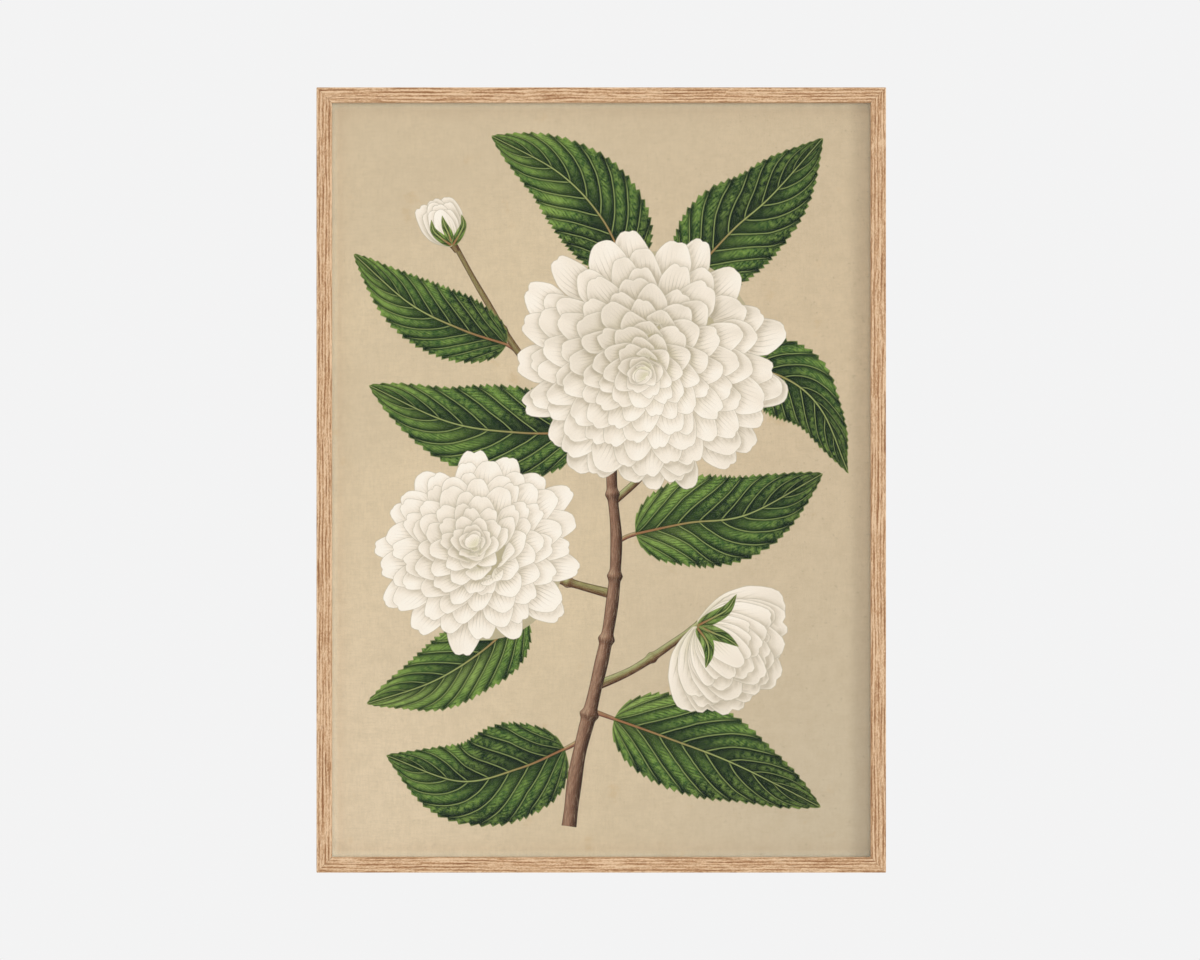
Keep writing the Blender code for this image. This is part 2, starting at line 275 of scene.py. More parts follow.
class Shading:
    """A Principled material with short calls for the nodes that feed it."""

    def __init__(self, name):
        self.material = bpy.data.materials.new(name)
        self.material.use_nodes = True
        self.tree = self.material.node_tree
        self.shader = self.tree.nodes["Principled BSDF"]

    def put(self, socket, value):
        if isinstance(value, bpy.types.NodeSocket):
            self.tree.links.new(value, socket)
        else:
            socket.default_value = value

    def add(self, kind, inputs=(), **settings):
        node = self.tree.nodes.new(f"ShaderNode{kind}")
        for name, value in settings.items():
            setattr(node, name, value)
        for name, value in dict(inputs).items():
            self.put(node.inputs[name], value)
        return node

    def math(self, operation, *values):
        node = self.add("Math", operation=operation)
        for socket, value in zip(node.inputs, values):
            self.put(socket, value)
        return node.outputs[0]

    def between(self, value, low, high):
        """0 at low and 1 at high, with a smooth rise."""
        inputs = {"Value": value, "From Min": low, "From Max": high}
        return self.add("MapRange", inputs, interpolation_type="SMOOTHSTEP").outputs["Result"]

    def mix(self, factor, first, second, blend="MIX"):
        node = self.add("Mix", data_type="RGBA", blend_type=blend)
        self.put(node.inputs["Factor"], factor)
        colors = [socket for socket in node.inputs if socket.type == "RGBA"]
        for socket, value in zip(colors, (first, second)):
            self.put(socket, opaque(value))
        return next(socket for socket in node.outputs if socket.type == "RGBA")

    def tint(self, color, share, strength, other):
        """A colour with another laid over it, by a share from 0 to 1 of the full strength."""
        return self.mix(self.math("MULTIPLY", share, strength), color, other)

    def place(self, scale, offset=(0, 0, 0)):
        """The object's own coordinates in metres, scaled evenly or along each axis."""
        if isinstance(scale, int):
            scale = (scale, scale, scale)
        coordinates = self.add("TexCoord").outputs["Object"]
        mapping = self.add("Mapping", {"Vector": coordinates, "Scale": scale, "Location": offset})
        return mapping.outputs["Vector"]

    def split(self, vector):
        return self.add("SeparateXYZ", {"Vector": vector}).outputs

    def noise(self, place, scale=1.0, detail=2.0, roughness=0.5):
        inputs = {"Vector": place, "Scale": scale, "Detail": detail, "Roughness": roughness}
        return self.add("TexNoise", inputs).outputs["Fac"]

    def attribute(self, name):
        return self.add("Attribute", attribute_name=name)

    def bump(self, height, distance, strength):
        node = self.add("Bump", {"Height": height, "Distance": distance, "Strength": strength})
        self.put(self.shader.inputs["Normal"], node.outputs["Normal"])

    def finish(self, color, roughness, metallic=None, specular=None):
        for name, value in (
                ("Base Color", color), ("Roughness", roughness), ("Metallic", metallic),
                ("Specular IOR Level", specular)):
            if value is not None:
                self.put(self.shader.inputs[name], opaque(value))
        return self.material


def add_object(name, mesh, material):
    mesh.materials.append(material)
    added = bpy.data.objects.new(name, mesh)
    bpy.context.scene.collection.objects.link(added)
    return added


def make_camera():
    data = bpy.data.cameras.new("camera")
    camera = bpy.data.objects.new("camera", data)
    bpy.context.scene.collection.objects.link(camera)
    metres_per_pixel = (SIGHT_RIGHT - SIGHT_LEFT) / SIGHT_WIDTH_PX
    data.sensor_width = SENSOR_WIDTH
    data.lens = SENSOR_WIDTH * CAMERA_DISTANCE / (metres_per_pixel * PHOTO_WIDTH)
    aside = (CENTRE_X_PX - PHOTO_WIDTH / 2) * metres_per_pixel
    camera.location = (PLATE_X - aside, FRONT_Y - CAMERA_DISTANCE, PLATE_Z)
    camera.rotation_euler = (math.pi / 2, 0, 0)
    bpy.context.scene.camera = camera


def make_light():
    scene = bpy.context.scene
    scene.view_settings.view_transform = "Standard"
    world = bpy.data.worlds.new("studio")
    world.use_nodes = True
    world.node_tree.nodes["Background"].inputs["Color"].default_value = (*SURROUND, 1.0)
    scene.world = world
    data = bpy.data.lights.new("key", "SUN")
    data.energy = SUN_STRENGTH
    data.angle = math.radians(SUN_ANGLE_DEG)
    sun = bpy.data.objects.new("key", data)
    sun.rotation_euler = SUN_FROM.to_track_quat("Z", "Y").to_euler()
    scene.collection.objects.link(sun)


def make_floor():
    mesh = bpy.data.meshes.new("floor")
    half = FLOOR_SIZE / 2
    level = cad_bounds[0].z - FLOOR_DROP
    corners = [(x * half, y * half, level) for x, y in ((-1, -1), (1, -1), (1, 1), (-1, 1))]
    mesh.from_pydata(corners, [], [(0, 1, 2, 3)])
    material = Shading("floor").finish(color=FLOOR_COLOR, roughness=0.9)
    floor = add_object("floor", mesh, material)


def oak(name, along):
    """Light oak whose grain runs along X or Z.

    It has broken lines, streaks, fibres, hairs, grit, dark dashes and pores.
    """
    s = Shading(name)

    def grain(layer):
        along_scale, across_scale, offset, detail, roughness = OAK_GRAIN[layer]
        scale = [across_scale] * 3
        scale["XYZ".index(along)] = along_scale
        return s.noise(s.place(scale, offset), detail=detail, roughness=roughness)

    here = s.split(s.place(1))
    depth = s.math("MULTIPLY_ADD", here["Y"], 0.8, here["Z" if along == "X" else "X"])
    waver = s.math("MULTIPLY", grain("waver"), 2.4)
    lane = s.math("MULTIPLY_ADD", depth, OAK_LINES_PER_METRE, waver)
    lane = s.math("MULTIPLY_ADD", grain("ragged"), 0.42, lane)
    line = s.between(s.math("PINGPONG", lane, 0.5), 0.12, 0.42)
    broken = s.between(grain("broken"), 0.36, 0.62)
    line = s.math("MULTIPLY", line, s.math("MULTIPLY_ADD", broken, 0.85, 0.30))
    streaks, fibres, hairs = grain("streaks"), grain("fibres"), grain("hairs")
    dashes = s.between(grain("dashes"), 0.58, 0.68)
    pores = s.between(grain("pores"), 0.60, 0.70)
    tone = s.math("MULTIPLY_ADD", streaks, 1.15, s.math("MULTIPLY_ADD", fibres, 0.70, -0.26))
    tone = s.math("SUBTRACT", tone, s.math("MULTIPLY", line, 0.37))
    tone = s.math("SUBTRACT", tone, s.math("MULTIPLY", dashes, 0.16))
    tone = s.math("ADD", tone, s.math("MULTIPLY_ADD", hairs, 0.66, -0.34))
    tone = s.math("ADD", tone, s.math("MULTIPLY_ADD", grain("grit"), 0.85, -0.425))
    ramp = s.add("ValToRGB", {"Fac": tone})
    stops = ramp.color_ramp.elements
    for index, (position, color) in enumerate(OAK_TONES):
        stop = stops[index] if index < 2 else stops.new(position)
        stop.position = position
        stop.color = opaque(bare(color))
    color = s.tint(ramp.outputs["Color"], pores, 0.40, bare(OAK_PORE))
    raised = s.math("MULTIPLY_ADD", streaks, 0.5, hairs)
    s.bump(s.math("SUBTRACT", raised, s.math("MULTIPLY", pores, 0.8)), 0.00012, 0.6)
    return s.finish(color=color, roughness=s.math("MULTIPLY_ADD", fibres, 0.25, 0.42))


def aged_paper():
    """Warm paper: palest at the lower left, greyer at the right and the top.

    It has soil, threads, freckles and foxing, and a painted paler rim beside the lips, a painted
    light that offsets the shade they cast.
    """
    s = Shading("paper")
    clouds = s.noise(s.place(6, (1, 0, 2)), detail=4, roughness=0.6)
    color = s.mix(s.between(clouds, 0.36, 0.66), glazed(PAPER_DARK), glazed(PAPER_PALE))
    here = s.split(s.place(1))
    x, z = here["X"], here["Z"]
    left = s.between(x, PLATE_X, SIGHT_LEFT)
    right = s.between(x, PLATE_X - 0.06, SIGHT_RIGHT - 0.02)
    low = s.between(z, PLATE_Z + 0.12, SIGHT_BOTTOM)
    high = s.between(z, PLATE_Z + 0.16, SIGHT_TOP)
    for share, strength, tone in (
            (right, 0.75, PAPER_RIGHT), (high, 0.60, PAPER_HIGH),
            (s.math("MULTIPLY", low, right), 0.9, PAPER_LOW_RIGHT),
            (s.math("MULTIPLY", low, left), 0.9, PAPER_LOW_LEFT)):
        color = s.tint(color, share, strength, glazed(tone))
    soil = s.between(s.noise(s.place(75, (3, 6, 2)), detail=6, roughness=0.90), 0.42, 0.60)
    color = s.tint(color, soil, s.math("MULTIPLY_ADD", right, 0.08, 0.22), glazed(SOIL))
    for scale in ((1000, 1000, 110), (110, 1000, 1000)):
        threads = s.between(s.noise(s.place(scale), detail=2, roughness=0.6), 0.42, 0.68)
        color = s.tint(color, threads, 0.17, glazed(THREAD))
    freckles = s.between(s.noise(s.place(330, (4, 0, 1)), detail=1), 0.70, 0.76)
    color = s.tint(color, freckles, s.math("MULTIPLY_ADD", right, 0.14, 0.08), glazed(FRECKLE))
    foxing = s.between(s.noise(s.place(42, (7, 1, 3)), detail=3), 0.66, 0.78)
    color = s.tint(color, foxing, 0.30, glazed(FOXING))
    # Painted light: the paper is brightened beside each lip, less at the right, to offset the shade
    # the lips cast on it
    for place, lip, inwards, share in (
            (x, SIGHT_LEFT, 1, 1.0), (x, SIGHT_RIGHT, -1, 0.40), (z, SIGHT_TOP, -1, 0.9),
            (z, SIGHT_BOTTOM, 1, 0.9)):
        painted_light_by_lip = s.between(place, lip + PAINTED_LIGHT_REACH * inwards, lip - PAINTED_LIGHT_START * inwards)
        color = s.mix(s.math("MULTIPLY", painted_light_by_lip, share), color, PAINTED_LIGHT_GAIN, blend="MULTIPLY")
    s.bump(s.noise(s.place((420, 420, 900)), detail=3, roughness=0.7), 0.00003, 0.5)
    return s.finish(color=color, roughness=0.85, specular=MATT)


def picture_glass():
    """Clear glass: a faint reflection seen straight on, which grows at grazing angles."""
    s = Shading("glass")
    s.tree.nodes.remove(s.shader)
    clear = s.add("BsdfTransparent", {"Color": GLASS_TINT})
    gloss = s.add("BsdfGlossy", {"Color": (1, 1, 1, 1), "Roughness": 0.03})
    grazing = s.math("POWER", s.add("LayerWeight", {"Blend": 0.5}).outputs["Facing"], 5.0)
    mixed = s.add("MixShader")
    shares = (s.math("MULTIPLY_ADD", grazing, 0.80, 0.004), clear.outputs[0], gloss.outputs[0])
    for socket, value in zip(mixed.inputs, shares):
        s.put(socket, value)
    output = next(node for node in s.tree.nodes if node.type == "OUTPUT_MATERIAL")
    s.put(output.inputs["Surface"], mixed.outputs[0])
    return s.material


def fibreboard():
    """Brown fibreboard: fine flecks, faint clouds and a few pale strands that lie each way."""
    s = Shading("board")
    flecks = s.noise(s.place(980), detail=5, roughness=0.72)
    clouds = s.noise(s.place(14), detail=3)
    color = s.mix(s.between(flecks, 0.36, 0.64), bare(BOARD_DARK), bare(BOARD_PALE))
    color = s.tint(color, s.between(clouds, 0.4, 0.65), 0.35, bare(BOARD_CLOUD))
    for scale in ((1500, 1500, 190), (190, 1500, 1500)):
        strands = s.between(s.noise(s.place(scale, (2, 3, 1)), detail=2), 0.62, 0.70)
        color = s.tint(color, strands, 0.45, bare(BOARD_STRAND))
    s.bump(flecks, 0.00006, 0.5)
    return s.finish(color=color, roughness=0.72)


def steel(name, color):
    """Steel rolled along X, with fine streaks and faint stains."""
    s = Shading(name)
    streaks = s.noise(s.place((90, 2600, 2600)), detail=2)
    stains = s.noise(s.place(260), detail=3)
    dark, pale, stained = (
        tuple(share * part for part in color) for share in (0.78, 1.18, 0.60))
    shown = s.mix(s.between(streaks, 0.34, 0.66), dark, pale)
    shown = s.tint(shown, s.between(stains, 0.44, 0.68), 0.45, stained)
    s.bump(streaks, 0.00002, 0.4)
    roughness = s.math("MULTIPLY_ADD", streaks, 0.24, 0.24)
    return s.finish(color=shown, roughness=roughness, metallic=1.0)


def felt():
    s = Shading("felt")
    fuzz = s.noise(s.place(1500), detail=4, roughness=0.8)
    color = s.mix(s.between(fuzz, 0.3, 0.7), bare(FELT_DARK), bare(FELT_PALE))
    s.bump(fuzz, 0.0003, 0.8)
    return s.finish(color=color, roughness=0.98)


def rise(value, low, high):
    """0 at low and 1 at high, with a smooth rise, for arrays."""
    share = np.clip((value - low) / (high - low), 0, 1)
    return share * share * (3 - 2 * share)


def graded(tone, stops):
    """Screen colours for an array of tones, along stops of tone and colour."""
    levels = [level for level, _ in stops]
    channels = [
        np.interp(tone, levels, [color[index] for _, color in stops]) for index in range(3)]
    return np.stack(channels, axis=-1)


def smooth_path(knots, steps):
    """Evenly spaced points along a smooth curve through a few (X, Z) knots, and its length."""
    knots = np.array(knots, float)
    padded = np.concatenate([[2 * knots[0] - knots[1]], knots, [2 * knots[-1] - knots[-2]]])
    t = np.linspace(0, 1, SPAN_STEPS, endpoint=False)[:, None]
    spans = []
    for before, start, end, after in zip(padded, padded[1:], padded[2:], padded[3:]):
        square = (2 * before - 5 * start + 4 * end - after) * t ** 2
        cube = (3 * start - before - 3 * end + after) * t ** 3
        spans.append(0.5 * (2 * start + (end - before) * t + square + cube))
    dense = np.concatenate(spans + [knots[-1:]])
    run = np.concatenate([[0], np.cumsum(np.linalg.norm(np.diff(dense, axis=0), axis=1))])
    at = np.linspace(0, run[-1], steps)
    return np.stack([np.interp(at, run, dense[:, axis]) for axis in range(2)], axis=-1), run[-1]


def path_sides(path):
    """Unit vectors on the plate, square to a path at each of its points."""
    tangent = np.gradient(path, axis=0)
    tangent = tangent / np.linalg.norm(tangent, axis=1, keepdims=True)
    return np.stack([tangent[:, 1], -tangent[:, 0]], axis=-1)


def drawn_normals(points):
    """Unit normals of a grid whose rows run along a leaf or petal and whose columns cross it."""
    normals = np.cross(np.gradient(points, axis=1), np.gradient(points, axis=0))
    return normals / np.maximum(np.linalg.norm(normals, axis=-1, keepdims=True), 1e-9)


def edge_distance(points, outline):
    """How far each grid point lies, on the plate, from an outline of connected points."""
    flat = points[..., :2].reshape(-1, 1, 2)
    start, run = outline[:-1, :2], np.diff(outline[:, :2], axis=0)
    share = ((flat - start) * run).sum(-1) / np.maximum((run ** 2).sum(-1), 1e-9)
    nearest = start + np.clip(share, 0, 1)[..., None] * run
    return np.linalg.norm(flat - nearest, axis=-1).min(axis=1).reshape(points.shape[:2])


class Ink:
    """Printed shapes, in millimetres from the plate's middle, gathered into one flat mesh."""

    def __init__(self):
        self.points, self.faces, self.count = [], [], 0
        self.values = {"ink": [], "plan": [], "distances": []}

    def add(self, points, layer, screen, plan, distances, squash=LEAF_SQUASH):
        """A grid of (X, Z, depth) points, its screen colours and what its line work needs.

        The plan is the share along it, the share across it and a number of its own. The
        distances are from its outline, and along a stem or across a leaf.
        """
        rows, columns = points.shape[:2]
        place = np.empty_like(points)
        place[..., 0] = PLATE_X + points[..., 0] * MM
        place[..., 1] = PAPER_Y - (layer + points[..., 2] * squash) * MM
        place[..., 2] = PLATE_Z + points[..., 1] * MM
        corner = self.count + np.arange(rows * columns).reshape(rows, columns)[:-1, :-1]
        quads = np.stack([corner, corner + 1, corner + columns + 1, corner + columns], axis=-1)
        self.points.append(place.reshape(-1, 3))
        self.faces.append(quads.reshape(-1, 4))
        self.count += rows * columns
        color = np.ones((rows, columns, 4))
        color[..., :3] = to_reflectance(screen, GLAZED_ILLUMINATION)
        self.values["ink"].append(color)
        for label, parts in (("plan", plan), ("distances", (*distances, 0.0))):
            spread = [np.broadcast_to(part, (rows, columns)) for part in parts]
            self.values[label].append(np.stack(spread, axis=-1))

    def build(self, name, material):
        mesh = bpy.data.meshes.new(name)
        points, faces = np.concatenate(self.points), np.concatenate(self.faces)
        mesh.from_pydata(points.tolist(), [], faces.tolist())
        for label, parts in self.values.items():
            flat = np.concatenate([part.ravel() for part in parts])
            if label == "ink":
                mesh.attributes.new(label, "FLOAT_COLOR", "POINT").data.foreach_set("color", flat)
            else:
                mesh.attributes.new(label, "FLOAT_VECTOR", "POINT").data.foreach_set("vector", flat)
        piece = add_object(name, mesh, material)
        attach(piece, "frame")


def petal_shape(rng, length, half, lift_root, lift_tip, cup):
    """A petal from its root: across, outwards and up, in millimetres, and its tip's place."""
    u, v = PETAL_U[:, None], PETAL_V[None, :]
    notch = rng.uniform(0.0, 0.09) * np.exp(-(v / 0.22) ** 2) * u ** 6
    fullness = rng.uniform(0.34, 0.44)
    along = u * (1 - fullness * np.abs(v) ** 2.6) - notch
    widening = np.sin(math.pi / 2 * np.minimum(u / PETAL_WIDEST, 1))
    wide = half * (PETAL_ROOT + (1 - PETAL_ROOT) * widening)
    across = v * wide + rng.normal(0, 0.05) * half * u ** 2
    steps = np.linspace(0, 1, PETAL_STEPS + 1)
    lift = lift_tip + (lift_root - lift_tip) * (1 - steps) ** 1.5
    slope, step = (lift[1:] + lift[:-1]) / 2, length / PETAL_STEPS
    out = np.concatenate([[0], np.cumsum(np.cos(slope))]) * step
    up = np.concatenate([[0], np.cumsum(np.sin(slope))]) * step
    here = np.interp(along, steps, lift)
    bulge = cup * half * np.abs(v) ** 2 * (0.4 + 0.6 * u)
    ripple = np.sin(rng.uniform(3.5, 5.5) * v + rng.uniform(0, 6))
    bulge = bulge + PETAL_RIPPLE * half * ripple * u ** 3
    bulge = bulge - 0.05 * half * np.exp(-(v / 0.13) ** 2) * (1 - u ** 3)
    shape = np.stack([
        across, np.interp(along, steps, out) - bulge * np.sin(here),
        np.interp(along, steps, up) + bulge * np.cos(here)], axis=-1)
    return shape, (out[-1], up[-1])


def petal_axes(angle):
    """Unit vectors on the plate, along a petal and across it."""
    outward = np.array((math.cos(angle), math.sin(angle), 0))
    return outward, np.array((outward[1], -outward[0], 0))


def petal_outline(points):
    return np.concatenate([points[:, 0], points[-1, 1:-1], points[::-1, -1]])


def print_petals(ink, petals, seed):
    """Prints petals from the lowest up, each shaded by its form and by those above it."""
    rng = np.random.default_rng(seed)
    u, v = PETAL_U[:, None], PETAL_V[None, :]
    outlines = [petal_outline(points) for points, _, _ in petals]
    middles = np.array([outline[:, :2].mean(axis=0) for outline in outlines])
    spans = np.array([np.ptp(outline[:, :2], axis=0).max() for outline in outlines])
    for index, (points, lightness, warmth) in enumerate(petals):
        normals = drawn_normals(points)
        facing = np.where(normals[..., 2:] < 0, -1, 1)
        lit = np.clip((normals * facing) @ DRAWN_LIGHT, 0, 1)
        tone = 0.45 + 0.50 * lit ** 1.3 + lightness
        tone = tone * (0.70 + 0.30 * rise(u, 0.15, 0.75)) - 0.05 * (facing[..., 0] < 0)
        nearest = np.full(points.shape[:2], FAR)
        for above in range(index + 1, len(petals)):
            apart = np.linalg.norm(middles[above] - middles[index])
            if apart < (spans[above] + spans[index]) * 0.62:
                cast = outlines[above] + SHADOW_SHIFT
                nearest = np.minimum(nearest, edge_distance(points, cast))
        tone = tone - CONTACT_SHADE * np.exp(-(nearest / CONTACT_REACH) ** 1.4)
        tint = warmth * (1 - rise(u, 0.1, 0.8))[..., None]
        screen = graded(tone, PETAL_TONES) * (1 - tint) + np.array(PETAL_HEART) * tint
        edge = edge_distance(points, outlines[index])
        layer = np.interp(index, (0, len(petals)), BLOOM_LAYERS)
        ink.add(points, layer, screen, (u, v, rng.uniform(0, 1)), (edge, 0.0), PETAL_SQUASH)


def print_bed(ink, centre, radius):
    """The shadow deep between a bloom's petals, as a round patch under them all."""
    around = np.linspace(0, 2 * math.pi, BED_SIDES + 1)[None, :]
    out = np.linspace(0.02, 1, BED_RINGS)[:, None] * radius
    points = np.zeros((BED_RINGS, BED_SIDES + 1, 3))
    points[..., 0] = centre[0] + out * np.cos(around)
    points[..., 1] = centre[1] + out * np.sin(around)
    screen = np.broadcast_to(np.array(PETAL_GAPS, float), points.shape)
    ink.add(points, BED_LAYER, screen, (1.0, 0.0, 0.0), (FAR, 0.0), 0)


def bloom_turn(lean, towards):
    """The turn that leans a bloom's axis by an angle towards a direction on the plate."""
    axis = Vector((-math.sin(towards), math.cos(towards), 0))
    return np.array(Matrix.Rotation(lean, 3, axis))


def draw_bloom(ink, centre, radius, count, lean, towards, seed):
    """A double bloom: petals along a golden spiral, flat at the rim and raised at the heart."""
    rng = np.random.default_rng(seed)
    turn = bloom_turn(math.radians(lean), math.radians(towards))
    petals = []
    print_bed(ink, centre, BED_RADIUS * radius)
    for number in range(count, 0, -1):
        out = (number / count) ** BLOOM_SPREAD
        reach = radius * out * rng.normal(1, 0.025)
        spacing = reach * math.sqrt(2 * math.pi * BLOOM_SPREAD / number)
        half = 0.74 * spacing * rng.uniform(0.86, 1.14)
        lift_tip = math.radians(np.interp(out, *BLOOM_LIFT) + rng.normal(0, 7))
        lift_root = lift_tip + math.radians(PETAL_CURL_DEG)
        cup = np.interp(out, *BLOOM_CUP) * rng.uniform(0.5, 1.5)
        length = min(2.3 * spacing, HEART_LENGTH + 2 * reach)
        shape, tip = petal_shape(rng, length, half, lift_root, lift_tip, cup)
        outward, across = petal_axes(number * GOLDEN_ANGLE + rng.normal(0, 0.06))
        height = BLOOM_HEIGHT * radius * math.sqrt(1 - 0.96 * out ** 2)
        points = shape[..., :1] * across + (shape[..., 1:2] + reach - tip[0]) * outward
        points[..., 2] += shape[..., 2] + height - tip[1]
        points = points @ turn.T + np.array((*centre, 0))
        petals.append((points, 0.08 * out * float(outward @ DRAWN_LIGHT), 0.42 * (1 - out) ** 2))
    print_petals(ink, petals, seed)


def draw_fan(ink, foot, towards, length, rows, seed):
    """A half-open bloom or a bud from its side: rows of petals from one foot, back to front."""
    rng = np.random.default_rng(seed)
    lifts = math.radians(FAN_ROOT_LIFT_DEG), math.radians(FAN_TIP_LIFT_DEG)
    petals = []
    for row, (count, reach, spread, width) in enumerate(rows):
        for item in sorted(range(count), key=lambda item: -abs(item - (count - 1) / 2)):
            aside = spread * ((item + 0.5) / count * 2 - 1) + rng.normal(0, 2.5)
            long = length * reach * rng.uniform(0.92, 1.06) * (1 - 0.0016 * abs(aside))
            cup = rng.uniform(-0.45, -0.15)
            shape, _ = petal_shape(rng, long, long * width, *lifts, cup)
            outward, across = petal_axes(math.radians(towards - aside))
            points = shape[..., :1] * across + shape[..., 1:2] * outward
            points[..., 2] += shape[..., 2]
            points = points + np.array((*foot, 0))
            petals.append((points, 0.10 * row / len(rows) - 0.06, 0.22))
    print_petals(ink, petals, seed)


def draw_leaf(
        ink, knots, width, layer, seed, fold, twist=(0, 0), curl=26, veins=9, tooth=3.8, pale=0.0):
    """A toothed leaf along its midrib's knots.

    It is folded along the rib, twisted from foot to tip and curled at its sides, in degrees.
    """
    rng = np.random.default_rng(seed)
    path, length = smooth_path(knots, LEAF_ROWS)
    u = np.linspace(0, 1, LEAF_ROWS)
    body = np.maximum(u, 1e-4) ** LEAF_FOOT_POWER * np.maximum(1 - u, 0) ** LEAF_TIP_POWER
    half = width / 2 * body / body.max()
    wave = 6 * np.sin(2 * math.pi * (2.2 * u + rng.uniform(0, 1)))
    to_left = np.abs(LEAF_V[LEAF_V < 0])
    lateral, depth = [], []
    for sign, outward in ((-1, to_left), (1, to_left[::-1])):
        start = np.radians(fold - sign * np.interp(u, (0, 1), twist) + sign * wave)[:, None]
        teeth = (veins * VEIN_TEETH * (u - VEIN_SLANT) + rng.uniform(0, 1)) % 1
        teeth = tooth * teeth * (half / half.max()) ** 0.35
        reach = half[:, None] * outward + np.where(outward == 1, 1, 0) * teeth[:, None]
        angle = start - math.radians(curl) * outward ** 2 / 2
        lateral.append(sign * reach * np.cos(angle))
        depth.append(reach * np.sin(angle))
    lateral, depth = np.concatenate(lateral, axis=1), np.concatenate(depth, axis=1)
    arch = 0.10 * length * np.sin(math.pi * u) - 0.08 * length * u ** 2
    points = np.empty((LEAF_ROWS, len(LEAF_V), 3))
    points[..., :2] = path[:, None] + path_sides(path)[:, None] * lateral[..., None]
    points[..., 2] = depth + arch[:, None]
    normals = drawn_normals(points)
    under = (normals[..., 2] < 0)[..., None]
    lit = (normals * np.where(under, -1, 1)) @ DRAWN_LIGHT
    tone = 0.13 + pale + 0.86 * np.clip(lit, 0, 1) ** 2
    screen = np.where(under, graded(tone, UNDER_TONES), graded(tone, LEAF_TONES))
    edge = edge_distance(points, np.concatenate([points[:, 0], points[::-1, -1]]))
    ink.add(points, layer, screen, (u[:, None], LEAF_V[None, :], veins), (edge, lateral))


def draw_stem(ink, knots, widths, layer, seed, tones, knobs=()):
    """A round stem along its knots, with a width at each and swellings at shares of its length."""
    rng = np.random.default_rng(seed)
    steps = STEM_STEPS * len(knots)
    path, length = smooth_path(knots, steps)
    u, v = np.linspace(0, 1, steps)[:, None], STEM_V[None, :]
    half = np.interp(u, np.linspace(0, 1, len(widths)), widths) / 2
    half = half * (1 + 0.05 * np.sin(u * length / 9 + rng.uniform(0, 6)))
    for knob in knobs:
        half = half * (1 + KNOB_SWELL * np.exp(-((u - knob) * length / KNOB_LENGTH) ** 2))
    points = np.empty((steps, len(STEM_V), 3))
    points[..., :2] = path[:, None] + path_sides(path)[:, None] * (v * half)[..., None]
    points[..., 2] = half * np.sqrt(np.maximum(1 - v ** 2, 0))
    lit = np.clip(drawn_normals(points) @ DRAWN_LIGHT, 0, 1)
    screen = graded(0.08 + 0.92 * lit ** 1.2, tones)
    edge = (1 - np.abs(v)) * half
    ink.add(points, layer, screen, (u, v, rng.uniform(0, 1)), (edge, u * length))


def ink_values(s):
    """The colour of the ink, its plan and its distances, as Ink.add was given them."""
    color = s.attribute("ink").outputs["Color"]
    plan = s.split(s.attribute("plan").outputs["Vector"])
    distances = s.split(s.attribute("distances").outputs["Vector"])
    return color, plan, distances


def stipple(s, color, strength):
    """The grain of the printing stone and of the paper under the ink."""
    grain = s.noise(s.place(1100), detail=2, roughness=0.7)
    return s.tint(color, s.between(grain, 0.38, 0.68), strength, (0.0, 0.0, 0.0))


def petal_ink():
    """Creamy petals with fine lines that fan out from the root, and a soft grey outline."""
    s = Shading("petal_ink")
    color, plan, distances = ink_values(s)
    u, v, seed, edge = plan["X"], plan["Y"], plan["Z"], distances["X"]
    wobble = s.noise(s.place(45), detail=2)
    fan = s.math("ADD", s.math("MULTIPLY", v, 4.2), s.math("MULTIPLY_ADD", wobble, 0.9, seed))
    line = s.between(s.math("PINGPONG", fan, 0.5), 0.37, 0.48)
    fade = s.math("MULTIPLY", s.between(u, 0.93, 0.35), s.between(wobble, 0.2, 0.6))
    color = s.tint(color, s.math("MULTIPLY", line, fade), 0.72, glazed(PETAL_LINE))
    color = s.tint(color, s.between(edge, 3.0, 0.2), 0.30, glazed(PETAL_RIM))
    color = s.tint(color, s.between(edge, 0.55, 0.20), 0.62, glazed(PETAL_OUTLINE))
    return s.finish(color=stipple(s, color, 0.05), roughness=0.85, specular=MATT)


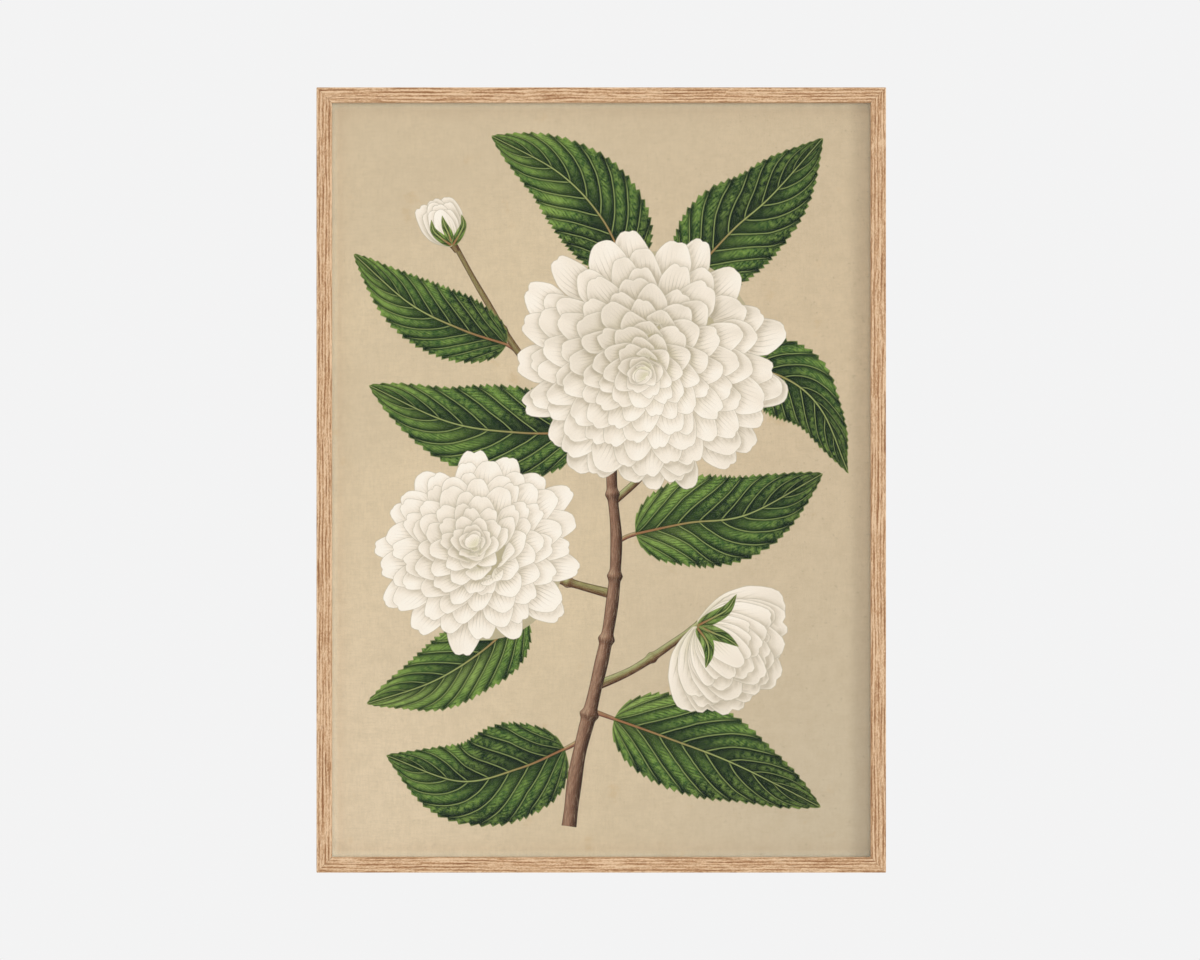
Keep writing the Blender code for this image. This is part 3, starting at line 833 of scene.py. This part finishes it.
def leaf_ink():
    """Pleated leaves: pale veins, shaded pleats, fine hatching and a light margin."""
    s = Shading("leaf_ink")
    color, plan, distances = ink_values(s)
    u, v, veins = plan["X"], plan["Y"], plan["Z"]
    edge, from_rib = distances["X"], s.math("ABSOLUTE", distances["Y"])
    wobble = s.noise(s.place(30), detail=3)
    reach = s.math("ABSOLUTE", v)

    # The pleats between the side veins, which slant forwards
    slant = s.math("MULTIPLY", s.math("POWER", reach, 1.15), VEIN_SLANT)
    phase = s.math("MULTIPLY", s.math("SUBTRACT", u, slant), veins)
    phase = s.math("MULTIPLY_ADD", wobble, 0.22, phase)
    panel = s.math("FRACT", phase)
    pleat = s.math("MULTIPLY", s.between(panel, 0.10, 0.60), s.between(panel, 1.0, 0.70))
    from_foot = s.math("MULTIPLY_ADD", s.between(reach, 0.04, 0.55), 0.85, 0.15)
    pleat = s.math("MULTIPLY", pleat, from_foot)
    color = s.mix(s.math("MULTIPLY_ADD", pleat, -0.90, 0.90), color, glazed(PLEAT_SHADE))
    mottle = s.between(s.noise(s.place(260), detail=3, roughness=0.65), 0.34, 0.66)
    color = s.tint(color, s.math("MULTIPLY", pleat, mottle), 0.60, glazed(PLEAT_GLOW))

    # Hatching
    hatch_place = s.math("MULTIPLY_ADD", wobble, 2.2, s.math("MULTIPLY", reach, 15))
    hatch = s.between(s.math("PINGPONG", hatch_place, 0.5), 0.20, 0.42)
    broken = s.between(s.noise(s.place(210, (3, 3, 3)), detail=2), 0.34, 0.58)
    strength = s.math("MULTIPLY_ADD", pleat, 0.62, 0.15)
    color = s.tint(color, s.math("MULTIPLY", hatch, broken), strength, glazed(LEAF_HATCH))

    # Veins, midrib and margin
    vein = s.between(s.math("PINGPONG", phase, 0.5), 0.052, 0.020)
    vein = s.math("MULTIPLY", vein, s.between(reach, 1.02, 0.80))
    color = s.tint(color, vein, 0.80, glazed(SIDE_VEIN))
    color = s.tint(color, s.between(from_rib, 2.8, 0.9), 0.6, glazed(RIB_SHADE))
    rib_width = s.math("MULTIPLY_ADD", u, -0.75, 0.95)
    rib = s.between(s.math("SUBTRACT", from_rib, rib_width), 0.25, -0.15)
    rib_tone = s.mix(s.between(u, 0.55, 0.05), glazed(RIB_TIP), glazed(RIB_FOOT))
    color = s.tint(color, rib, 0.88, rib_tone)
    color = s.tint(color, s.between(edge, 1.0, 0.35), 0.55, glazed(LEAF_MARGIN))
    return s.finish(color=stipple(s, color, 0.12), roughness=0.8, specular=MATT)


def stem_ink():
    """Bark with fine streaks along it and a thin dark outline."""
    s = Shading("stem_ink")
    color, plan, distances = ink_values(s)
    v, seed, edge, along = plan["Y"], plan["Z"], distances["X"], distances["Y"]
    round_it, along_it = s.math("MULTIPLY", v, 3.2), s.math("MULTIPLY", along, 0.05)
    bark = s.add("CombineXYZ", {"X": round_it, "Y": along_it, "Z": seed}).outputs["Vector"]
    streaks = s.noise(bark, scale=2.6, detail=3, roughness=0.65)
    color = s.tint(color, s.between(streaks, 0.46, 0.62), 0.38, glazed(BARK_STREAK))
    color = s.tint(color, s.between(streaks, 0.46, 0.34), 0.35, glazed(BARK_GLEAM))
    color = s.tint(color, s.between(edge, 0.75, 0.25), 0.65, glazed(BARK_OUTLINE))
    return s.finish(color=stipple(s, color, 0.12), roughness=0.8, specular=MATT)


def print_picture():
    """The printed sprig: two double blooms, one half open, a bud, leaves and their stems."""
    stems, leaves, calyx, half_open = Ink(), Ink(), Ink(), Ink()
    knots, widths, knobs = MAIN_STEM
    draw_stem(stems, knots, widths, MAIN_STEM_LAYER, 1, BARK_TONES, knobs)
    for seed, (knots, widths, knobs) in enumerate(TWIGS, 2):
        draw_stem(stems, knots, widths, TWIG_LAYER, seed, TWIG_TONES, knobs)
    for seed, (joint, knots, width, level, fold, twist, curl) in enumerate(LEAVES, 11):
        petiole = (joint, knots[0], knots[1])
        draw_stem(stems, petiole, PETIOLE_WIDTHS, STEM_LAYER, seed, PETIOLE_TONES)
        draw_leaf(leaves, knots, width, LEAF_LAYERS[level], seed, fold, twist, curl)
    for seed, (knots, widths) in enumerate(NECKS, 40):
        draw_stem(stems, knots, widths, NECK_LAYER, seed, TWIG_TONES)
    for seed, (knots, width) in enumerate(SEPALS, 31):
        layer = CALYX_LAYER + SEPAL_STEP * (seed % 3)
        draw_leaf(
            calyx, knots, width, layer, seed, fold=10, curl=20, veins=2.5, tooth=0.0, pale=0.35)
    draw_fan(half_open, **HALF_OPEN)
    draw_fan(half_open, **BUD)
    green, cream = leaf_ink(), petal_ink()
    calyx.build("ink_calyx", green)
    stems.build("ink_stems", stem_ink())
    leaves.build("ink_leaves", green)
    for name, plan in BLOOMS.items():
        bloom = Ink()
        draw_bloom(bloom, **plan)
        bloom.build(name, cream)
    half_open.build("ink_bloom_half_open", cream)


def glue_film(name, profile, corner_x, corner_z, aside, upward):
    """A thin upright film through one mitre, from a profile of runs inwards and depths."""
    across = Vector((upward, 0, -aside)).normalized() * GLUE_THICKNESS / 2
    shape = bmesh.new()
    for offset in (-across, across):
        ring = [
            Vector((corner_x - run * aside, y, corner_z - run * upward)) for run, y in profile]
        shape.faces.new([shape.verts.new(point + offset) for point in ring])
    shape.verts.ensure_lookup_table()
    count = len(profile)
    for index in range(count):
        after = (index + 1) % count
        corners = (index, after, count + after, count + index)
        shape.faces.new([shape.verts[corner] for corner in corners])
    bmesh.ops.recalc_face_normals(shape, faces=shape.faces)
    mesh = bpy.data.meshes.new(name)
    shape.to_mesh(mesh)
    shape.free()
    return mesh


def make_mitre_glue():
    """Films of glue and wood dust in the hair-thin mitre joints, in front of the corner keys."""
    s = Shading("mitre_glue")
    grain = s.noise(s.place(900), detail=2)
    glue = s.finish(color=s.mix(grain, bare(GLUE_DARK), bare(GLUE_PALE)), roughness=0.7)
    glass_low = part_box("glazing")[0]
    key_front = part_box("corner_key_top_left")[0].y - GLUE_INSET
    front, lip_back = FRONT_Y + GLUE_RECESS, glass_low.y - GLUE_RECESS
    face = SIGHT_LEFT - OUTER_LEFT - GLUE_INSET
    land = glass_low.x - OUTER_LEFT - GLUE_CLEARANCE
    profile = (
        (GLUE_INSET, front), (face, front), (face, lip_back), (land, lip_back),
        (land, key_front), (GLUE_INSET, key_front))
    for upward, level, corner_z in ((1, "top", OUTER_TOP), (-1, "bottom", OUTER_BOTTOM)):
        for aside, side, corner_x in ((-1, "left", OUTER_LEFT), (1, "right", OUTER_RIGHT)):
            name = f"mitre_glue_{level}_{side}"
            mesh = glue_film(name, profile, corner_x, corner_z, aside, upward)
            piece = add_object(name, mesh, glue)
            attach(piece, "frame")


def dress(node, material):
    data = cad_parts[node].data
    data.materials.clear()
    data.materials.append(material)


def dress_solids():
    across, upright = oak("oak_across", "X"), oak("oak_upright", "Z")
    for node in ("rail_top", "rail_bottom"):
        dress(node, across)
    for node in ("rail_left", "rail_right"):
        dress(node, upright)
    dress("glazing", picture_glass())
    dress("print_sheet", aged_paper())
    dress("backing_board", fibreboard())
    spring, plated = steel("spring_steel", SPRING_STEEL), steel("plated_steel", PLATED_STEEL)
    soft = felt()
    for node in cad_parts:
        if node.startswith(("tab_", "corner_key")):
            dress(node, spring)
        elif node.startswith("hanger"):
            dress(node, plated)
        elif node.startswith("pad_"):
            dress(node, soft)


make_camera()
make_light()
make_floor()
dress_solids()
make_mitre_glue()
print_picture()
